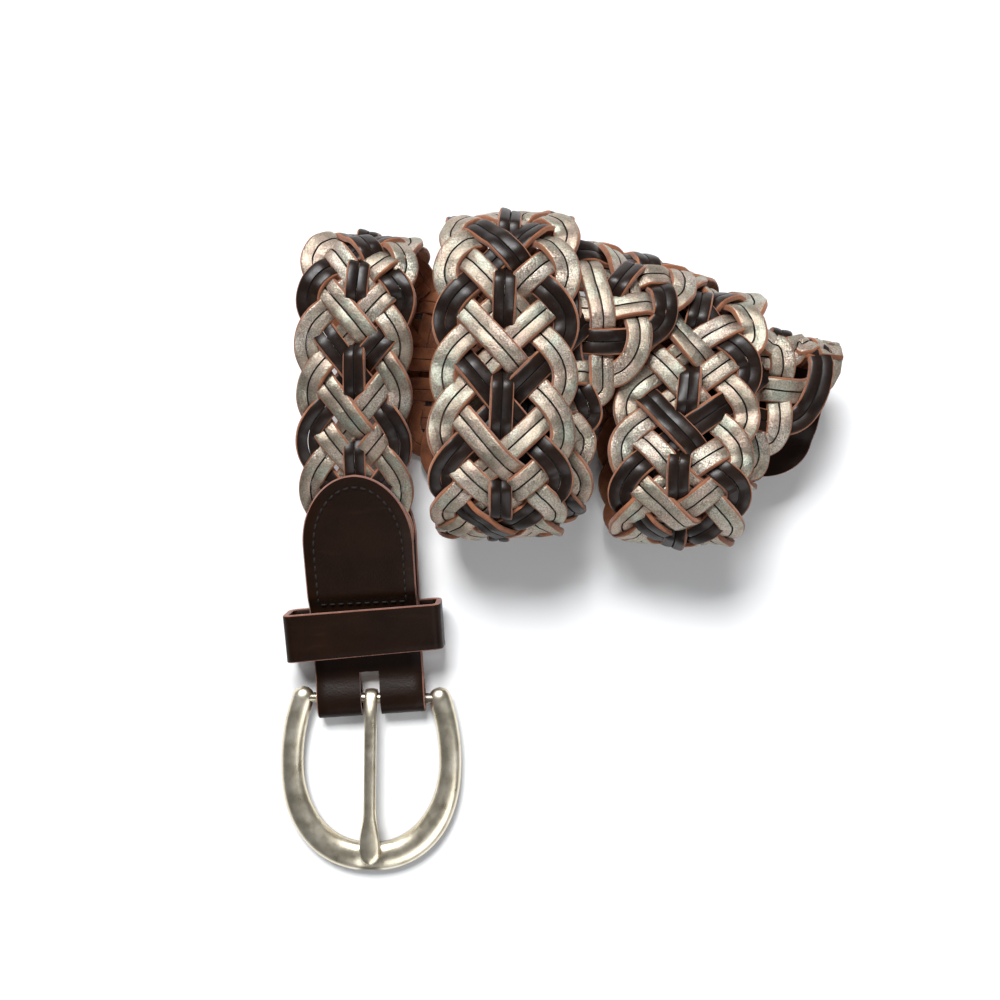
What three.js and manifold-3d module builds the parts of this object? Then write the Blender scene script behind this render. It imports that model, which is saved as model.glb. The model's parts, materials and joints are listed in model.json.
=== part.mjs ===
// A braided leather belt lying loosely coiled on a table, grain side outwards.
// The buckle end trails off the coil and lies flat. Millimetres, +Z up, the table is z = 0.
import * as THREE from 'three';
import { mergeVertices } from 'three/addons/utils/BufferGeometryUtils.js';
import Module from 'manifold-3d';

const wasm = await Module();
wasm.setup();

// Driving dimensions
const clearance = 0.3;
const leather = 2.0;
const braid = {
  width: 45, narrowWidth: 38, endWidth: 33,
  edge: 2.2, side: 3.6, middle: 5.2, pressed: 3.4,
  pitch: 16, scallop: 1.1, sectionStep: 4.1,
};
const coil = { south: -12.8, length: 102.6, height: 50 };
const bar = { x: -43.8, y: -67.5, z: 4.5, radius: 1.75 };
const firstRun = { bow: 2.6, endX: -45 };
const strap = {
  width: 36.5, length: 79, arch: 24, closeFrom: 9, closeTo: 32.5, openFrom: 38,
  foldSlack: 1.5, slotWidth: 6.6, slotNorth: 9.5, backShift: 0.9,
};
const keeper = { along: 17, width: 52.5, room: 6.4, leather: 1.8, centre: 24, skew: 2.0, lean: 10 };
const frame = {
  legTop: 23.3, halfWidth: 27, shoulder: 21.5, drop: 33, roundness: 2.2, yaw: -0.5,
  legWide: 7.6, legHigh: 5.4, endWide: 9.8, endHigh: 6,
};
const prong = {
  eyeWall: 1.3, shaft: 4.2, shaftHigh: 2.8, tipWide: 7, tipHigh: 2.2, length: 56, tipLength: 11,
};
const tip = { length: 38, overlap: 16, arch: 15, tailSouth: 8.5 };

// One row per turn of the coil. Each turn is an upper run going north and a lower run coming back.
// x columns are shares of the braid's width, y columns shares of the coil's length from its south
// end, z columns shares of the coil's height. lean bends the upper run: 1 is straight, more is late.
// Rolls are degrees, right edge outwards. fold turns the north bend's fold line, in degrees, with
// its right end going south.
const turns = [
  { upSouthX: -1.02, upNorthX: -1.0, lean: 1, lowNorthX: -0.911, lowSouthX: -0.022,
    southY: 0, northY: 0.955, upSouthZ: 0.72, upNorthZ: 0.72, lowNorthZ: 0.06, lowSouthZ: 0.06,
    upRoll: 0, lowRoll: 0, fold: 3 },
  { upSouthX: 0, upNorthX: 0.044, lean: 1, lowNorthX: 0.111, lowSouthX: 0.133,
    southY: 0.023, northY: 1, upSouthZ: 1.01, upNorthZ: 1.01, lowNorthZ: 0.116, lowSouthZ: 0.175,
    upRoll: 0, lowRoll: 4, fold: 0 },
  { upSouthX: 0.167, upNorthX: 0.644, lean: 2.6, lowNorthX: 1.2, lowSouthX: 1.244,
    southY: 0.082, northY: 0.88, upSouthZ: 0.84, upNorthZ: 0.9, lowNorthZ: 0.07, lowSouthZ: 0.06,
    upRoll: 0, lowRoll: 1, fold: 18 },
  { upSouthX: 1.222, upNorthX: 1.333, lean: 1, lowNorthX: 1.489, lowSouthX: 1.44,
    southY: 0, northY: 0.77, upSouthZ: 0.9, upNorthZ: 0.8, lowNorthZ: 0.18, lowSouthZ: 0.176,
    upRoll: 5, lowRoll: 1, fold: 6 },
  { upSouthX: 1.4, upNorthX: 1.97, lean: 1.4, lowNorthX: 2.022, lowSouthX: 1.8,
    southY: 0.155, northY: 0.638, upSouthZ: 0.68, upNorthZ: 0.635, lowNorthZ: 0.33, lowSouthZ: 0.33,
    upRoll: -6, lowRoll: 3, fold: 8 },
];
const stationSpacing = 12;

const radians = THREE.MathUtils.degToRad;
const lerp = THREE.MathUtils.lerp;
const smooth = THREE.MathUtils.smoothstep;

function place(row) {
  const x = (share) => share * braid.width;
  const z = (share) => share * coil.height;
  return {
    up: {
      southX: x(row.upSouthX), northX: x(row.upNorthX), southZ: z(row.upSouthZ), northZ: z(row.upNorthZ),
    },
    low: {
      northX: x(row.lowNorthX), southX: x(row.lowSouthX), northZ: z(row.lowNorthZ), southZ: z(row.lowSouthZ),
    },
    south: coil.south + row.southY * coil.length,
    north: coil.south + row.northY * coil.length,
    lean: row.lean, upRoll: row.upRoll, lowRoll: row.lowRoll, fold: row.fold,
  };
}

// Stations of the belt's centre line with their roll and fold, from the buckle's bar to the free end
function beltStations() {
  const rows = turns.map(place);
  const stations = [];
  function add(x, y, z, roll, fold) {
    stations.push({ point: new THREE.Vector3(x, y, z), turn: new THREE.Vector3(roll, fold, 0) });
  }

  function straight(from, to) {
    const steps = Math.max(1, Math.round(Math.abs(to.y - from.y) / stationSpacing));
    for (let i = 1; i <= steps; i += 1) {
      const t = i / steps;
      const across = t ** (to.lean ?? 1);
      add(lerp(from.x, to.x, across), lerp(from.y, to.y, t), lerp(from.z, to.z, t),
        lerp(from.roll, to.roll, t), lerp(from.fold, to.fold, t));
    }
  }

  // side is 1 for a north bend and -1 for a south one
  function bend(from, to, side) {
    const radius = Math.abs(from.z - to.z) / 2;
    const steps = Math.max(4, Math.round((Math.PI * radius) / stationSpacing));
    for (let i = 1; i <= steps; i += 1) {
      const t = i / steps;
      const angle = Math.PI * t;
      const reach = side * radius * Math.sin(angle);
      const x = lerp(from.x, to.x, t) + reach * Math.sin(radians(from.fold));
      const y = from.y + reach * Math.cos(radians(from.fold));
      add(x, y, lerp(from.z, to.z, (1 - Math.cos(angle)) / 2), lerp(from.roll, to.roll, t), from.fold);
    }
  }

  rows.forEach((row, k) => {
    const northRadius = (row.up.northZ - row.low.northZ) / 2;
    const north = { y: row.north - northRadius, fold: row.fold };
    const upNorth = { ...north, x: row.up.northX, z: row.up.northZ, roll: row.upRoll, lean: row.lean };
    const lowNorth = { ...north, x: row.low.northX, z: row.low.northZ, roll: row.lowRoll };
    if (k === 0) {
      const steps = Math.round((upNorth.y - bar.y) / stationSpacing);
      for (let i = 0; i <= steps; i += 1) {
        const t = i / steps;
        add(lerp(bar.x, firstRun.endX, t) - firstRun.bow * Math.sin(Math.PI * t), lerp(bar.y, upNorth.y, t),
          lerp(bar.z, upNorth.z, smooth(t, 0, 1)), 0, row.fold * t);
      }
    } else {
      const before = rows[k - 1];
      const southRadius = (row.up.southZ - before.low.southZ) / 2;
      const south = { y: row.south + southRadius, fold: 0 };
      const upSouth = { ...south, x: row.up.southX, z: row.up.southZ, roll: row.upRoll };
      const lowSouth = { ...south, x: before.low.southX, z: before.low.southZ, roll: before.lowRoll };
      bend(lowSouth, upSouth, -1);
      straight(upSouth, upNorth);
    }
    bend(upNorth, lowNorth, 1);
    const next = rows[k + 1];
    const southY = next ? next.south + (next.up.southZ - row.low.southZ) / 2 : tip.tailSouth;
    straight(lowNorth, { x: row.low.southX, y: southY, z: row.low.southZ, roll: row.lowRoll, fold: 0 });
  });
  return stations;
}

// The route gives a place on the belt from a distance along it, across it and out of its grain side
function makeRoute(stations) {
  const line = new THREE.CatmullRomCurve3(stations.map((s) => s.point), false, 'catmullrom', 0.5);
  const turning = new THREE.CatmullRomCurve3(stations.map((s) => s.turn), false, 'catmullrom', 0.5);
  line.arcLengthDivisions = 4000;
  const length = line.getLength();

  function axesAt(distance) {
    const share = THREE.MathUtils.clamp(distance / length, 0, 1);
    const t = line.getUtoTmapping(share);
    const centre = line.getPoint(t);
    const along = line.getTangent(t);
    const { x: roll, y: fold } = turning.getPoint(t).multiplyScalar(radians(1));
    const right = new THREE.Vector3(Math.cos(fold), -Math.sin(fold), 0);
    const flat = right.clone().addScaledVector(along, -right.dot(along)).normalize();
    const out = flat.clone().cross(along);
    const across = flat.clone().multiplyScalar(Math.cos(roll)).addScaledVector(out, Math.sin(roll));
    const grain = out.multiplyScalar(Math.cos(roll)).addScaledVector(flat, -Math.sin(roll));
    centre.addScaledVector(along, distance - share * length);
    return { centre, along, across, grain };
  }

  function at(distance, across, grain) {
    const axes = axesAt(distance);
    return axes.centre.addScaledVector(axes.across, across).addScaledVector(axes.grain, grain);
  }
  return { length, axesAt, at };
}

const route = makeRoute(beltStations());

// A closed body through rings of points. Each ring has the same number of points.
// Faces point out where a ring runs anticlockwise as seen looking back along the body.
function skin(rings, closed = false) {
  const count = rings[0].length;
  const points = rings.flat();
  const faces = [];
  const spans = closed ? rings.length : rings.length - 1;
  for (let i = 0; i < spans; i += 1) {
    const here = i * count;
    const there = ((i + 1) % rings.length) * count;
    for (let j = 0; j < count; j += 1) {
      const k = (j + 1) % count;
      faces.push(here + j, here + k, there + k, here + j, there + k, there + j);
    }
  }
  if (!closed) {
    const last = (rings.length - 1) * count;
    for (let j = 1; j < count - 1; j += 1) {
      faces.push(0, j + 1, j, last, last + j, last + j + 1);
    }
  }
  const geometry = new THREE.BufferGeometry();
  geometry.setAttribute('position', new THREE.Float32BufferAttribute(points.flatMap((p) => p.toArray()), 3));
  geometry.setIndex(faces);
  return geometry;
}

function toSolid(geometry) {
  const plain = geometry.clone();
  plain.deleteAttribute('normal');
  plain.deleteAttribute('uv');
  const merged = mergeVertices(plain, 1e-4);
  return new wasm.Manifold(new wasm.Mesh({
    numProp: 3,
    vertProperties: new Float32Array(merged.attributes.position.array),
    triVerts: new Uint32Array(merged.index.array),
  }));
}

function fromSolid(solid) {
  const mesh = solid.getMesh();
  const geometry = new THREE.BufferGeometry();
  geometry.setAttribute('position', new THREE.BufferAttribute(new Float32Array(mesh.vertProperties), 3));
  geometry.setIndex(new THREE.BufferAttribute(new Uint32Array(mesh.triVerts), 1));
  return geometry;
}

function finish(name, geometry, colour, roughness, metalness) {
  geometry.computeVertexNormals();
  const material = new THREE.MeshStandardMaterial({ color: colour, roughness, metalness });
  const mesh = new THREE.Mesh(geometry, material);
  mesh.name = name;
  return mesh;
}

// The braid as one band. It is pressed thin and narrow where its ends go between the leather layers.
const braidStart = strap.openFrom;
const braidEnd = route.length - tip.length + tip.overlap;

function braidSection(distance) {
  const fromStart = distance - braidStart;
  const fromEnd = braidEnd - distance;
  const leavesTab = strap.length - braidStart + braid.sectionStep;
  const leavesTip = tip.overlap + braid.sectionStep;
  const opening = smooth(fromStart, 0, leavesTab * 0.6);
  const full = smooth(fromStart, 2 * leavesTab, 4.5 * leavesTab);
  const closing = smooth(fromEnd, 0, 2 * leavesTip);
  const clearOfTab = smooth(fromStart, leavesTab, 1.5 * leavesTab);
  const clearOfTip = smooth(fromEnd, leavesTip, 2 * leavesTip);
  const pressed = Math.min(clearOfTab, clearOfTip);
  const nearTab = lerp(braid.endWidth, braid.narrowWidth, opening);
  const width = lerp(braid.endWidth, lerp(nearTab, braid.width, full), closing);
  const ripple = braid.scallop * (Math.cos((2 * Math.PI * distance) / braid.pitch) - 1);
  const halfWidth = width / 2 + ripple;
  return [
    { across: halfWidth, out: braid.edge / 2 },
    { across: 0.6 * halfWidth, out: lerp(braid.pressed, braid.side, pressed) / 2 },
    { across: 0.15 * halfWidth, out: lerp(braid.pressed, braid.middle, pressed) / 2 },
  ];
}

function makeBraid() {
  const steps = Math.round((braidEnd - braidStart) / braid.sectionStep);
  const rings = [];
  for (let i = 0; i <= steps; i += 1) {
    const distance = lerp(braidStart, braidEnd, i / steps);
    const quarter = braidSection(distance);
    const face = [...quarter, ...quarter.toReversed().map((p) => ({ across: -p.across, out: p.out }))];
    const section = [...face.map((p) => ({ across: p.across, out: -p.out })), ...face.toReversed()];
    rings.push(section.map((p) => route.at(distance, p.across, p.out)));
  }
  return finish('braid', skin(rings), 0x8a8078, 0.5, 0.3);
}

// Leather strap folded round the buckle's bar: its two layers hold the end of the braid
const foldRadius = bar.radius + 0.5 + leather / 2;
const closeGap = (leather + clearance) / 2;
const openGap = braid.pressed / 2 + clearance + leather / 2;

function layerGap(distance) {
  const closing = smooth(distance, 0, strap.closeFrom);
  const opening = smooth(distance, strap.closeTo, strap.openFrom);
  return lerp(lerp(foldRadius, closeGap, closing), openGap, opening);
}

function archedHalfWidth(toEnd, width, arch) {
  const share = THREE.MathUtils.clamp((arch - toEnd) / arch, 0, 0.99);
  return (width / 2) * Math.sqrt(1 - share ** 2);
}

// Centre line of the folded strip as {along, out}, from the back layer's end to the front layer's
function foldLine() {
  const layer = [];
  const steps = 26;
  for (let i = 0; i <= steps; i += 1) {
    const distance = strap.length * (1 - (i / steps) ** 1.25);
    layer.push({ along: distance, out: layerGap(distance) });
  }
  const back = layer.map((p) => ({ along: p.along, out: -p.out }));
  const front = layer.toReversed();
  const fold = [];
  const arcSteps = 8;
  for (let i = 0; i <= arcSteps; i += 1) {
    const angle = -Math.PI / 2 - (Math.PI * i) / arcSteps;
    fold.push({ along: -strap.foldSlack + foldRadius * Math.cos(angle), out: foldRadius * Math.sin(angle) });
  }
  return [...back, ...fold, ...front];
}

function makeStrap() {
  const line = foldLine();
  const rings = line.map((p, i) => {
    const before = line[Math.max(0, i - 1)];
    const after = line[Math.min(line.length - 1, i + 1)];
    const size = Math.hypot(after.along - before.along, after.out - before.out);
    const side = {
      along: (-(after.out - before.out) / size) * (leather / 2),
      out: ((after.along - before.along) / size) * (leather / 2),
    };
    const half = archedHalfWidth(strap.length - p.along, strap.width, strap.arch);
    const shift = p.out < 0 ? strap.backShift * smooth(p.along, 0, strap.length) : 0;
    const corner = (across, sign) => (
      route.at(p.along + sign * side.along, across + shift, p.out + sign * side.out)
    );
    return [corner(half, 1), corner(half, -1), corner(-half, -1), corner(-half, 1)];
  });
  const reach = foldRadius + leather + strap.foldSlack;
  const slot = new THREE.BoxGeometry(strap.slotWidth, strap.slotNorth + reach, 4 * foldRadius);
  slot.translate(0, (strap.slotNorth - reach) / 2, 0);
  const axes = route.axesAt(0);
  const atFold = new THREE.Matrix4().makeBasis(axes.across, axes.along, axes.grain).setPosition(axes.centre);
  slot.applyMatrix4(atFold);
  const cut = toSolid(skin(rings)).subtract(toSolid(slot));
  return finish('buckle_strap', fromSolid(cut), 0x2a1710, 0.55, 0);
}

// The keeper: a flat loop of leather round the strap, with room above it for the belt's free end.
// It leans towards the coil, because the strap climbs and the loop stands on the table.
function makeKeeper() {
  const low = -(closeGap + leather / 2 + clearance);
  const high = closeGap + leather / 2 + keeper.room;
  const outer = { half: keeper.width / 2, low: low - keeper.leather, high: high + keeper.leather };
  const inner = { half: keeper.width / 2 - keeper.leather, low, high };

  function outline(size, corner) {
    const points = [];
    const places = [[1, 1, 0], [-1, 1, 1], [-1, -1, 2], [1, -1, 3]];
    places.forEach(([sideX, sideY, quarter]) => {
      for (let i = 0; i <= 4; i += 1) {
        const angle = (quarter + i / 4) * (Math.PI / 2);
        points.push({
          across: sideX * (size.half - corner) + corner * Math.cos(angle),
          out: (sideY > 0 ? size.high - corner : size.low + corner) + corner * Math.sin(angle),
        });
      }
    });
    return points;
  }

  const outerLine = outline(outer, 3.2);
  const innerLine = outline(inner, 3.2 - keeper.leather);
  const turn = Math.tan(radians(keeper.skew));
  const lean = Math.tan(radians(keeper.lean));
  const end = (line, side) => line.map((p) => {
    const along = keeper.centre + (side * keeper.along) / 2 + p.across * turn + p.out * lean;
    return route.at(along, p.across, p.out);
  });
  const outside = end(outerLine, -1);
  const rings = outside.map((_, i) => [
    end(outerLine, -1)[i], end(outerLine, 1)[i], end(innerLine, 1)[i], end(innerLine, -1)[i],
  ]);
  return finish('keeper_loop', skin(rings, true), 0x2a1710, 0.5, 0);
}

// The buckle's own axes: x along the bar, y towards the frame's far end, z out of its face
const frameEnd = frame.shoulder + frame.drop;
const buckleAxes = new THREE.Group();
buckleAxes.position.set(bar.x, bar.y, bar.z);
buckleAxes.rotation.order = 'ZXY';
buckleAxes.rotation.z = radians(180 + frame.yaw);
buckleAxes.rotation.x = -Math.asin((bar.z - frame.endHigh / 2 - 0.1) / frameEnd);
buckleAxes.updateMatrixWorld();

function frameLine(share) {
  const side = share < 0.5 ? 1 : -1;
  const fromEnd = Math.abs(share - 0.5) * 2;
  const legShare = 0.36;
  if (fromEnd > 1 - legShare) {
    const y = frame.shoulder * ((1 - fromEnd) / legShare);
    const narrowing = ((frame.shoulder - y) / frame.shoulder) ** 2;
    return new THREE.Vector3(side * lerp(frame.halfWidth, frame.legTop, narrowing), y, 0);
  }
  const angle = (fromEnd / (1 - legShare)) * (Math.PI / 2);
  const power = 2 / frame.roundness;
  return new THREE.Vector3(side * frame.halfWidth * Math.sin(angle) ** power,
    frame.shoulder + frame.drop * Math.cos(angle) ** power, 0);
}

function makeFrame() {
  const steps = 44;
  const sides = 12;
  const rings = [];
  for (let i = 0; i <= steps; i += 1) {
    const share = i / steps;
    const centre = frameLine(share);
    const along = frameLine(Math.min(1, share + 0.01)).sub(frameLine(Math.max(0, share - 0.01))).normalize();
    const outward = new THREE.Vector3(-along.y, along.x, 0);
    const endShare = smooth(centre.y, frame.shoulder, frameEnd);
    const wide = lerp(frame.legWide, frame.endWide, endShare) / 2;
    const high = lerp(frame.legHigh, frame.endHigh, endShare) / 2;
    const ring = [];
    for (let j = 0; j < sides; j += 1) {
      const angle = (2 * Math.PI * j) / sides;
      const point = centre.clone().addScaledVector(outward, wide * Math.cos(angle));
      point.z += high * Math.sin(angle);
      ring.push(point);
    }
    rings.push(ring);
  }
  let solid = toSolid(skin(rings));
  for (const side of [1, -1]) {
    const knob = new THREE.SphereGeometry(frame.legWide / 2, sides, 8);
    knob.scale(1, 1, frame.legHigh / frame.legWide);
    knob.translate(side * frame.legTop, 0, 0);
    solid = solid.add(toSolid(knob));
  }
  const rod = new THREE.CylinderGeometry(bar.radius, bar.radius, 2 * frame.legTop, 16);
  rod.rotateZ(Math.PI / 2);
  solid = solid.add(toSolid(rod));
  return finish('buckle_frame', fromSolid(solid), 0x9c948a, 0.38, 1);
}

// The prong: an eye round the bar and a shaft that lies on the frame's far end
function makeProng() {
  const eyeInner = bar.radius + clearance;
  const eyeOuter = eyeInner + prong.eyeWall;
  const half = prong.shaft / 2;
  const profile = [
    [eyeInner, -half], [eyeOuter, -half], [eyeOuter, half], [eyeInner, half], [eyeInner, -half],
  ];
  const eye = new THREE.LatheGeometry(profile.map(([r, h]) => new THREE.Vector2(r, h)), 20);
  eye.rotateZ(Math.PI / 2);
  const restZ = frame.endHigh / 2 + clearance;
  const startY = 1.2;
  const startZ = eyeInner + prong.shaftHigh / 2;
  const steps = 18;
  const rings = [];
  for (let i = 0; i <= steps; i += 1) {
    const t = i / steps;
    const y = lerp(startY, prong.length, t);
    const fromTip = prong.length - y;
    const flat = smooth(y, prong.length - 2 * prong.tipLength, prong.length - 0.6 * prong.tipLength);
    const nose = Math.sqrt(Math.max(0.06, 1 - (1 - Math.min(1, fromTip / 4)) ** 2));
    const wide = (lerp(prong.shaft, prong.tipWide, flat) / 2) * nose;
    const high = lerp(prong.shaftHigh, prong.tipHigh, flat) / 2;
    const z = lerp(startZ, restZ + prong.tipHigh / 2, smooth(y, 4, prong.length - 1.5 * prong.tipLength));
    const ring = [];
    for (let j = 0; j < 10; j += 1) {
      const angle = (2 * Math.PI * j) / 10;
      ring.push(new THREE.Vector3(wide * Math.cos(angle), y, z + high * Math.sin(angle)));
    }
    rings.push(ring.toReversed());
  }
  const hole = new THREE.CylinderGeometry(eyeInner, eyeInner, 2 * prong.shaft, 20);
  hole.rotateZ(Math.PI / 2);
  const solid = toSolid(eye).add(toSolid(skin(rings))).subtract(toSolid(hole));
  return finish('buckle_prong', fromSolid(solid), 0xa8a198, 0.3, 1);
}

// The free end's two leather layers, with the end of the braid between them
function makeTipLayer(name, side) {
  const start = route.length - tip.length;
  const steps = 12;
  const rings = [];
  for (let i = 0; i <= steps; i += 1) {
    const distance = lerp(start, route.length, i / steps);
    const meet = smooth(distance, braidEnd + 1, braidEnd + 7);
    const out = side * lerp(openGap, closeGap, meet);
    const half = archedHalfWidth(route.length - distance, strap.width, tip.arch);
    const corner = (across, offset) => route.at(distance, across, out + offset);
    const [upper, lower] = [leather / 2, -leather / 2];
    rings.push([corner(half, upper), corner(half, lower), corner(-half, lower), corner(-half, upper)]);
  }
  return finish(name, skin(rings), 0x2a1710, 0.55, 0);
}

function onBuckle(mesh) {
  mesh.geometry.applyMatrix4(buckleAxes.matrixWorld);
  return mesh;
}

const group = new THREE.Group();
group.add(
  makeBraid(),
  makeStrap(),
  makeKeeper(),
  onBuckle(makeFrame()),
  onBuckle(makeProng()),
  makeTipLayer('tip_front', 1),
  makeTipLayer('tip_back', -1),
);

// The origin is under the middle of the whole belt, at the table
const box = new THREE.Box3().setFromObject(group);
const middle = box.getCenter(new THREE.Vector3());
group.position.set(-middle.x, -middle.y, -box.min.z);
group.updateMatrixWorld(true);

export default group;
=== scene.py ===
"""Braided leather belt, loosely coiled, with its buckle end laid out flat.

The laces are woven along the same route as the part's braid, in the part's own frame.
Lengths in the tables and named sizes are millimetres, and MM turns them into metres.
"""

import json
import math

import bmesh
import bpy
import numpy as np
from mathutils import Matrix, Vector


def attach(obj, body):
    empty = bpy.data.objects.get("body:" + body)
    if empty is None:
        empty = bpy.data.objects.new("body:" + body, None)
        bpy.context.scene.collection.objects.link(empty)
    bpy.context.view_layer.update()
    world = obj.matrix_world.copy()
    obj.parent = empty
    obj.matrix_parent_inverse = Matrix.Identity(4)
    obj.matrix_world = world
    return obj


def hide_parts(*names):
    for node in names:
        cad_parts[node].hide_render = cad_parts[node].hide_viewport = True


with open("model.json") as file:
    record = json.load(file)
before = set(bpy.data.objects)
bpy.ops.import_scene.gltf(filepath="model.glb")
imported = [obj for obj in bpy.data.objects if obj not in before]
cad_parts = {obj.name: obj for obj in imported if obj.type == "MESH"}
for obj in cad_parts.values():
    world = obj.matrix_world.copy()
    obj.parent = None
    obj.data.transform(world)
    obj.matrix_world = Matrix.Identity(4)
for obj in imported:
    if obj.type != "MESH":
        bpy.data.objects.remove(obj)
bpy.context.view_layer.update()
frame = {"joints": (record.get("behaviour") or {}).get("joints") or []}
MM = 0.001

# Sizes shared with the part
BRAID = {"width": 45.0, "narrow": 38.0, "end": 33.0, "step": 4.1, "edge": 2.2, "scallop": 1.1}
COIL = {"south": -12.8, "length": 102.6, "height": 50.0}
BAR = {"x": -43.8, "y": -67.5, "z": 4.5, "radius": 1.75}
FIRST_RUN = {"bow": 2.6, "end_x": -45.0}
LEATHER = 2.0
CLEARANCE = 0.3
PRESSED = 3.4
STRAP = {"width": 36.5, "length": 79.0, "arch": 24.0, "close_from": 9.0, "close_to": 32.5, "open_from": 38.0,
         "fold_slack": 1.5, "slot_width": 6.6, "slot_north": 9.5, "back_shift": 0.9}
KEEPER = {"along": 17.0, "width": 52.5, "room": 6.4, "leather": 1.8, "centre": 24.0, "skew": 2.0,
          "lean": 10.0, "corner": 3.2}
FRAME = {"leg_top": 23.3, "half_width": 27.0, "shoulder": 21.5, "drop": 33.0, "roundness": 2.2, "yaw": -0.5,
         "leg_wide": 7.6, "leg_high": 5.4, "end_wide": 9.8, "end_high": 6.0}
PRONG_SEAT = {"depth": 0.55, "across": 3.6, "along": 3.4}
PRONG = {"eye_wall": 1.3, "shaft": 4.2, "shaft_high": 2.8, "tip_wide": 7.0, "tip_high": 2.2, "length": 56.0,
         "tip_length": 11.0}
TIP = {"length": 38.0, "overlap": 16.0, "arch": 15.0, "tail_south": 8.5}
STATION_SPACING = 12.0

# One row per turn of the coil, with the same columns as in the part
TURN_COLUMNS = ("up_south_x", "up_north_x", "lean", "low_north_x", "low_south_x", "south", "north",
                "up_south_z", "up_north_z", "low_north_z", "low_south_z", "up_roll", "low_roll", "fold")
TURNS = (
    (-1.02, -1.0, 1, -0.911, -0.022, 0, 0.955, 0.72, 0.72, 0.06, 0.06, 0, 0, 3),
    (0, 0.044, 1, 0.111, 0.133, 0.023, 1, 1.01, 1.01, 0.116, 0.175, 0, 4, 0),
    (0.167, 0.644, 2.6, 1.2, 1.244, 0.082, 0.88, 0.84, 0.9, 0.07, 0.06, 0, 1, 18),
    (1.222, 1.333, 1, 1.489, 1.44, 0, 0.77, 0.9, 0.8, 0.18, 0.176, 5, 1, 6),
    (1.4, 1.97, 1.4, 2.022, 1.8, 0.155, 0.638, 0.68, 0.635, 0.33, 0.33, -6, 3, 8),
)

# The weave: laces, pitch of the crossings and where along the belt they fall.
# WEAVE_MARKS rows are (distance along the belt, crossings counted from its start).
LACE = {"width": 3.95, "middle_width": 3.55, "thickness": 1.95, "slit": 0.14, "corner": 0.2,
        "camber": 0.3, "slope": 0.48, "shoulder": 1.2, "edge_foot": 0.7, "underside": 0.86}
DIAGONALS = 6
DARK_EVERY = 3
TURN_ROUNDING = 0.62
CROWN = 1.0
TABLE_GAP = 0.02
STRAND_ROLL = 20.0
STRAND_DRIFT = 0.5
HEIGHT_DRIFT = 0.1
HELD_LEVEL = 0.55
HELD_ROLL = 0.2
LOOSENS_OVER = 16.0
BEND_PULL = 0.09
WEAVE_MARKS = ((38.0, 0.8), (96.5, 4.5), (128.0, 6.5), (333.8, 22.5), (367.8, 24.5), (398.3, 26.5),
               (788.5, 54.5), (814.5, 56.5), (842.0, 58.5), (1071.0, 75.0))
MARK_BLUR = 16.0
RINGS_PER_PITCH = 16

CAMERA_HEIGHT = 400.0
CAMERA_LENS = 41.7
CAMERA_SENSOR = 36.0
SKY = {"colour": (0.93, 0.96, 1.0, 1), "strength": 0.17}
DAYLIGHT = (0.98, 0.99, 1.0)


def lerp(a, b, t):
    return a + (b - a) * t


def smooth(x, low, high):
    t = np.clip((np.asarray(x, float) - low) / (high - low), 0, 1)
    return t * t * (3 - 2 * t)


def nearest_whole(value):
    return math.floor(value + 0.5)


# Route of the belt

def full_size(row):
    """A turn's row as named millimetres."""
    turn = dict(zip(TURN_COLUMNS, row))
    for key in ("up_south_x", "up_north_x", "low_north_x", "low_south_x"):
        turn[key] *= BRAID["width"]
    for key in ("up_south_z", "up_north_z", "low_north_z", "low_south_z"):
        turn[key] *= COIL["height"]
    for key in ("south", "north"):
        turn[key] = COIL["south"] + turn[key] * COIL["length"]
    return turn


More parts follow.
